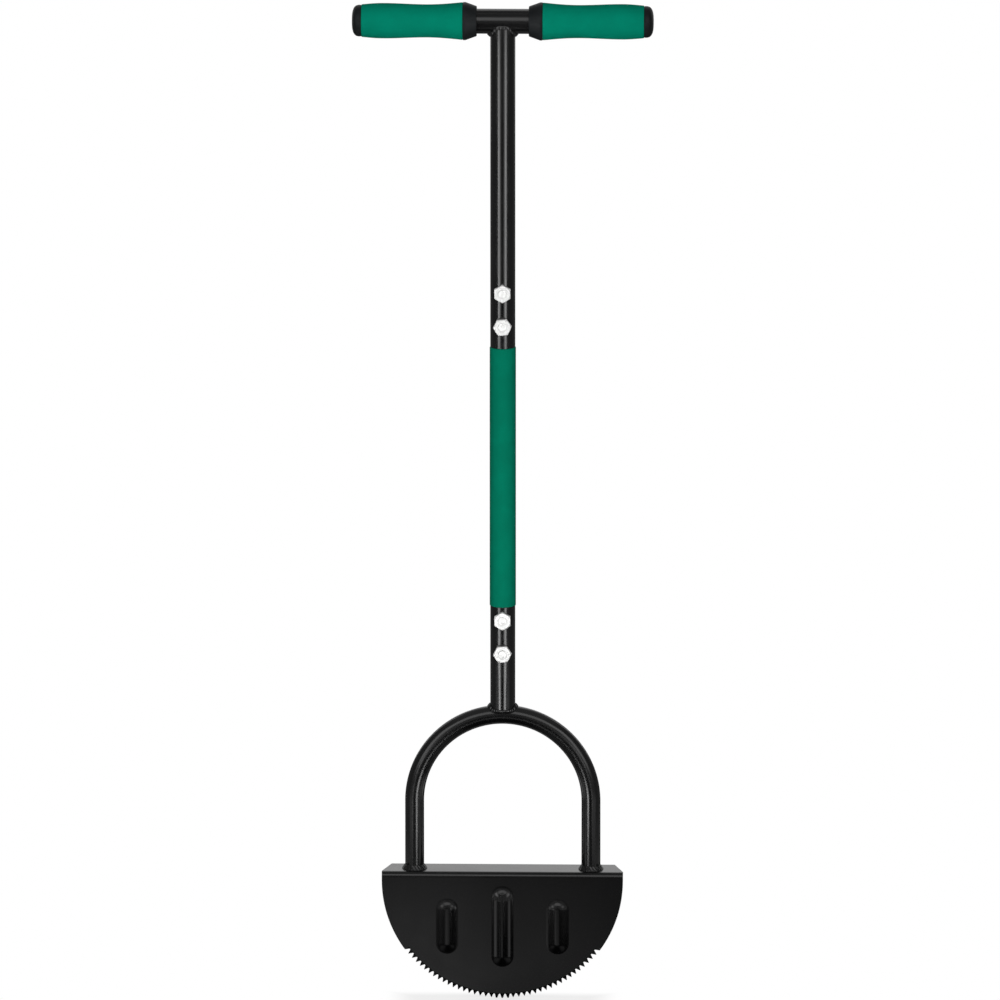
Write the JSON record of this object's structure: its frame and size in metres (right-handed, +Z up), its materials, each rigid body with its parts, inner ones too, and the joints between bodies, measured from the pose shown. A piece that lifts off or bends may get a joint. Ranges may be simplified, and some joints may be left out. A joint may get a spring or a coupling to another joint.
{
  "type": "half moon edger",
  "caption": "Long-handled half moon lawn edger: toothed half round steel blade with folded footrest, bent tube fork, bolted sectional shaft and T handle with soft grips.",
  "frame": {"origin": "on the shaft's axis, at the level of the lowest tooth tips", "axes": "+Z up along the shaft, X along the T handle, the blade's front face looks towards -Y"},
  "size_m": [0.3004, 0.0507, 1.0135],
  "materials": {
    "black_powder_coat": "satin black powder coat on steel",
    "zinc_plate": "bright zinc plated steel",
    "green_grip": "soft matt green grip",
    "green_sleeve": "smooth green sleeve",
    "black_plastic": "moulded black plastic with a fine grain"
  },
  "bodies": {
    "root": {"blade": "black_powder_coat", "left_leg_weld": "black_powder_coat", "right_leg_weld": "black_powder_coat", "fork": "black_powder_coat", "neck_weld": "black_powder_coat", "lower_tube": "black_powder_coat", "lower_joint_bolts": "zinc_plate", "lower_joint_washers": "zinc_plate", "lower_joint_nuts": "zinc_plate", "middle_tube": "black_powder_coat", "middle_sleeve": "green_sleeve", "upper_joint_bolts": "zinc_plate", "upper_joint_washers": "zinc_plate", "upper_joint_nuts": "zinc_plate", "upper_shaft": "black_powder_coat", "tee_weld": "black_powder_coat", "crossbar": "black_powder_coat", "left_grip_collar": "black_plastic", "right_grip_collar": "black_plastic", "left_grip": "green_grip", "right_grip": "green_grip", "left_end_cap": "black_plastic", "right_end_cap": "black_plastic"}
  },
  "joints": []
}
